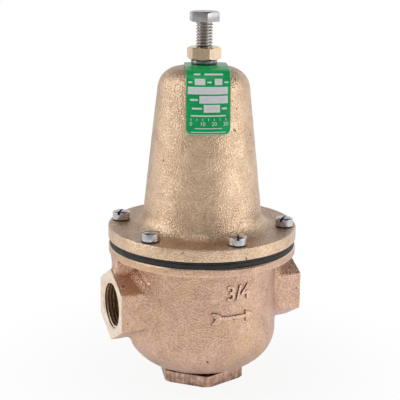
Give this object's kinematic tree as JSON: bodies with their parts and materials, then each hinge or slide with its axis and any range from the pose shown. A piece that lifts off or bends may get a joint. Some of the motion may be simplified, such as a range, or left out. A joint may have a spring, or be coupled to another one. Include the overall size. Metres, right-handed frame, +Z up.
{
  "type": "pressure reducing valve",
  "caption": "Bronze direct-acting pressure reducing valve: bowl-shaped body with two hexagonal threaded ports, tall bell-shaped spring cage, adjusting screw and lock nut.",
  "frame": {"origin": "middle of the bottom plug's underside, on the valve's axis, where the valve stands", "axes": "+Z up along the stem and adjusting screw, +X with the flow from inlet to outlet, -Y to the front"},
  "size_m": [0.1068, 0.1032, 0.2028],
  "materials": {
    "body_bronze": "cast and blasted, pinkish",
    "cage_bronze": "cast and blasted, golden",
    "plug_bronze": "machined, darkened",
    "brass": "machined",
    "copper": "soft ring",
    "stainless": "machined",
    "plated_steel": "zinc plated",
    "spring_steel": "drawn wire",
    "rubber": "fabric reinforced",
    "fibre": "vulcanised fibre",
    "tag_green": "printed sheet aluminium"
  },
  "bodies": {
    "root": {"body": "body_bronze", "spring_cage": "cage_bronze", "bottom_plug": "plug_bronze", "bottom_plug_gasket": "copper", "stem_guide": "stainless", "seat_ring": "stainless", "seat_gasket": "fibre", "diaphragm": "rubber", "diaphragm_gasket": "rubber", "cage_screw_1": "stainless", "cage_screw_2": "stainless", "cage_screw_3": "stainless", "cage_screw_4": "stainless", "cage_screw_5": "stainless", "cage_screw_6": "stainless", "name_tag": "tag_green", "range_spring": "spring_steel"},
    "valve": {"disc_holder": "brass", "valve_disc": "rubber", "disc_retainer": "stainless", "valve_stem": "stainless", "diaphragm_plate": "plated_steel", "spring_plate": "plated_steel", "stem_washer": "stainless", "stem_nut": "stainless"},
    "button": {"spring_button": "plated_steel"},
    "screw": {"adjusting_screw": "stainless"},
    "washer": {"lock_washer": "stainless"},
    "nut": {"lock_nut": "brass"}
  },
  "joints": [
    {"name": "valve_lift", "type": "slide", "parent": "root", "child": "valve", "axis": [0, 0, 1], "range_m": [0, 0.004], "stiffness_N_per_m": 10000, "springref_m": -0.008, "deforming": ["range_spring", "diaphragm"]},
    {"name": "button_feed", "type": "slide", "parent": "root", "child": "button", "axis": [0, 0, 1], "range_m": [-0.009, 0.004], "deforming": ["range_spring"]},
    {"name": "screw_turn", "type": "hinge", "parent": "button", "child": "screw", "pos_m": [0, 0, 0.18], "axis": [0, 0, 1], "range_deg": [-2042, 908]},
    {"name": "washer_lift", "type": "slide", "parent": "root", "child": "washer", "axis": [0, 0, 1], "range_m": [0, 0.0035]},
    {"name": "nut_turn", "type": "hinge", "parent": "washer", "child": "nut", "pos_m": [0, 0, 0.18], "axis": [0, 0, 1], "range_deg": [0, 794]}
  ],
  "couplings": [
    {"joint": "screw_turn", "follows": "button_feed", "rad_per_m": 3957.9},
    {"joint": "nut_turn", "follows": "washer_lift", "rad_per_m": 3957.9}
  ]
}
